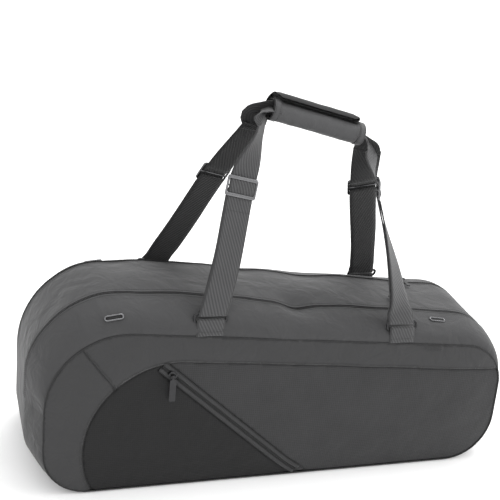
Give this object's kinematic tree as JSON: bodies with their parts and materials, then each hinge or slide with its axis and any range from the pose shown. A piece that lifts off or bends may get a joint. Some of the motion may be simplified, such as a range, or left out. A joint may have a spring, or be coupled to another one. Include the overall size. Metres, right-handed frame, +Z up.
{
  "type": "racket bag",
  "caption": "Long tapered racket bag with two zipped compartments, a diagonal zipped pocket, webbing straps on ring anchors, a padded hand wrap and a rear grab handle.",
  "frame": {"origin": "centre of the flat bottom, on the surface that the bag stands on", "axes": "+Z up, +X along the bag towards its lower end, the pocket side facing -Y"},
  "size_m": [0.75, 0.2562, 0.5689],
  "materials": {
    "band_fabric": "satin coated polyester",
    "board": "stiffener sheet",
    "foam": "foam",
    "hardware": "gunmetal, polished",
    "hook_tape": "hook tape",
    "lining": "pale satin",
    "panel_fabric": "matte coated polyester",
    "ripstop": "ripstop grid, soft sheen",
    "webbing": "twill webbing",
    "wrap": "padded coated fabric",
    "zipper": "coil on woven tape"
  },
  "bodies": {
    "root": {"anchor_tabs": "webbing", "base_board": "board", "bottom_panel": "panel_fabric", "centre_band": "band_fabric", "centre_band_left": "band_fabric", "centre_band_right": "band_fabric", "centre_divider": "lining", "front_band_left": "band_fabric", "front_band_right": "band_fabric", "front_lining": "lining", "front_yoke": "panel_fabric", "grab_handle": "webbing", "grab_tabs": "webbing", "inner_pocket": "lining", "inner_tapes": "zipper", "left_end_wrap": "panel_fabric", "outer_tapes": "zipper", "pocket_bag": "lining", "pocket_panel_left": "ripstop", "pocket_panel_right": "ripstop", "pocket_welts": "panel_fabric", "pocket_zip_coil": "zipper", "rear_band_left": "band_fabric", "rear_band_right": "band_fabric", "rear_lining": "lining", "rear_panel": "panel_fabric", "right_end_wrap": "panel_fabric", "slot_grommets": "hardware"},
    "front_flap": {"front_flap": "band_fabric", "front_flap_tape": "zipper"},
    "rear_flap": {"rear_flap": "band_fabric", "rear_flap_tape": "zipper"},
    "handle": {"handle_wrap": "wrap", "handle_core": "foam", "wrap_hook_strip": "hook_tape", "wrap_end_bands": "wrap", "strap_bridges": "webbing"},
    "wrap_flap": {"wrap_flap": "wrap"},
    "front_left_leg": {"front_left_ring": "hardware", "front_left_strap": "webbing"},
    "front_left_glide": {"front_left_tri_glide": "hardware"},
    "front_right_leg": {"front_right_ring": "hardware", "front_right_strap": "webbing"},
    "front_right_glide": {"front_right_tri_glide": "hardware"},
    "rear_left_leg": {"rear_left_ring": "hardware", "rear_left_strap": "webbing"},
    "rear_left_glide": {"rear_left_tri_glide": "hardware"},
    "rear_right_leg": {"rear_right_ring": "hardware", "rear_right_strap": "webbing"},
    "rear_right_glide": {"rear_right_tri_glide": "hardware"},
    "front_slider_a": {"front_slider_a": "hardware"},
    "front_puller_a": {"front_puller_a": "hardware"},
    "front_slider_b": {"front_slider_b": "hardware"},
    "front_puller_b": {"front_puller_b": "hardware"},
    "rear_slider_a": {"rear_slider_a": "hardware"},
    "rear_puller_a": {"rear_puller_a": "hardware"},
    "rear_slider_b": {"rear_slider_b": "hardware"},
    "rear_puller_b": {"rear_puller_b": "hardware"},
    "pocket_slider": {"pocket_slider": "hardware"},
    "pocket_puller": {"pocket_puller": "hardware"}
  },
  "joints": [
    {"name": "front_mouth_open", "type": "hinge", "parent": "root", "child": "front_flap", "pos_m": [-0.08, -0.09941, 0.23879], "axis": [0.9965, -0.0072, -0.0835], "range_deg": [0, 80]},
    {"name": "rear_mouth_open", "type": "hinge", "parent": "root", "child": "rear_flap", "pos_m": [-0.12, 0.09913, 0.24214], "axis": [-0.9965, -0.0072, 0.0835], "range_deg": [0, 80]},
    {"name": "handle_drop", "type": "slide", "parent": "root", "child": "handle", "axis": [0, 0, -1], "range_m": [0, 0.165], "deforming": ["front_left_strap", "front_right_strap", "rear_left_strap", "rear_right_strap"]},
    {"name": "wrap_flap_open", "type": "hinge", "parent": "handle", "child": "wrap_flap", "pos_m": [0.02988, 0.00583, 0.53551], "axis": [-0.9703, 0, 0.2419], "range_deg": [0, 120]},
    {"name": "front_left_ring_tilt", "type": "hinge", "parent": "root", "child": "front_left_leg", "pos_m": [-0.122, -0.09421, 0.25963], "axis": [-1, 0, 0], "range_deg": [0, 21.53]},
    {"name": "front_left_glide_slip", "type": "slide", "parent": "front_left_leg", "child": "front_left_glide", "axis": [0, -0.2722, -0.9622], "range_m": [0, 0.10617]},
    {"name": "front_right_ring_tilt", "type": "hinge", "parent": "root", "child": "front_right_leg", "pos_m": [0.183, -0.09618, 0.23401], "axis": [-1, 0, 0], "range_deg": [0, 23.37]},
    {"name": "front_right_glide_slip", "type": "slide", "parent": "front_right_leg", "child": "front_right_glide", "axis": [0, -0.2852, -0.9585], "range_m": [0, 0.11945]},
    {"name": "rear_left_ring_tilt", "type": "hinge", "parent": "root", "child": "rear_left_leg", "pos_m": [-0.168, 0.09249, 0.26303], "axis": [1, 0, 0], "range_deg": [0, 25.33]},
    {"name": "rear_left_glide_slip", "type": "slide", "parent": "rear_left_leg", "child": "rear_left_glide", "axis": [0, 0.3492, -0.9371], "range_m": [0, 0.0941]},
    {"name": "rear_right_ring_tilt", "type": "hinge", "parent": "root", "child": "rear_right_leg", "pos_m": [0.195, 0.09494, 0.23255], "axis": [1, 0, 0], "range_deg": [0, 25.93]},
    {"name": "rear_right_glide_slip", "type": "slide", "parent": "rear_right_leg", "child": "rear_right_glide", "axis": [0, 0.3587, -0.9334], "range_m": [0, 0.10115]},
    {"name": "front_zip_a", "type": "slide", "parent": "root", "child": "front_slider_a", "axis": [-0.9939, 0, 0.11], "range_m": [0, 0.264]},
    {"name": "front_pull_a", "type": "hinge", "parent": "front_slider_a", "child": "front_puller_a", "pos_m": [0.19273, -0.0458, 0.25381], "axis": [0.9939, 0, -0.11], "range_deg": [0, 150]},
    {"name": "front_zip_b", "type": "slide", "parent": "root", "child": "front_slider_b", "axis": [0.9939, 0, -0.11], "range_m": [0, 0.066]},
    {"name": "front_pull_b", "type": "hinge", "parent": "front_slider_b", "child": "front_puller_b", "pos_m": [0.20873, -0.0458, 0.25204], "axis": [0.9939, 0, -0.11], "range_deg": [0, 150]},
    {"name": "rear_zip_a", "type": "slide", "parent": "root", "child": "rear_slider_a", "axis": [-0.9939, 0, 0.11], "range_m": [0, 0.338]},
    {"name": "rear_pull_a", "type": "hinge", "parent": "rear_slider_a", "child": "rear_puller_a", "pos_m": [0.23173, 0.0458, 0.2495], "axis": [-0.9939, 0, 0.11], "range_deg": [0, 150]},
    {"name": "rear_zip_b", "type": "slide", "parent": "root", "child": "rear_slider_b", "axis": [0.9939, 0, -0.11], "range_m": [0, 0.024]},
    {"name": "rear_pull_b", "type": "hinge", "parent": "rear_slider_b", "child": "rear_puller_b", "pos_m": [0.24773, 0.0458, 0.24773], "axis": [-0.9939, 0, 0.11], "range_deg": [0, 150]},
    {"name": "pocket_zip", "type": "slide", "parent": "root", "child": "pocket_slider", "axis": [0.7571, -0.0561, -0.6509], "range_m": [0, 0.205]},
    {"name": "pocket_pull", "type": "hinge", "parent": "pocket_slider", "child": "pocket_puller", "pos_m": [-0.175, -0.11718, 0.18645], "axis": [-1, 0, 0], "range_deg": [0, 150]}
  ],
  "couplings": [
    {"joint": "front_left_ring_tilt", "follows": "handle_drop", "rad_per_m": 2.2763},
    {"joint": "front_left_glide_slip", "follows": "handle_drop", "ratio": 0.64331},
    {"joint": "front_right_ring_tilt", "follows": "handle_drop", "rad_per_m": 2.4713},
    {"joint": "front_right_glide_slip", "follows": "handle_drop", "ratio": 0.7238},
    {"joint": "rear_left_ring_tilt", "follows": "handle_drop", "rad_per_m": 2.6787},
    {"joint": "rear_left_glide_slip", "follows": "handle_drop", "ratio": 0.57017},
    {"joint": "rear_right_ring_tilt", "follows": "handle_drop", "rad_per_m": 2.7418},
    {"joint": "rear_right_glide_slip", "follows": "handle_drop", "ratio": 0.61292}
  ]
}
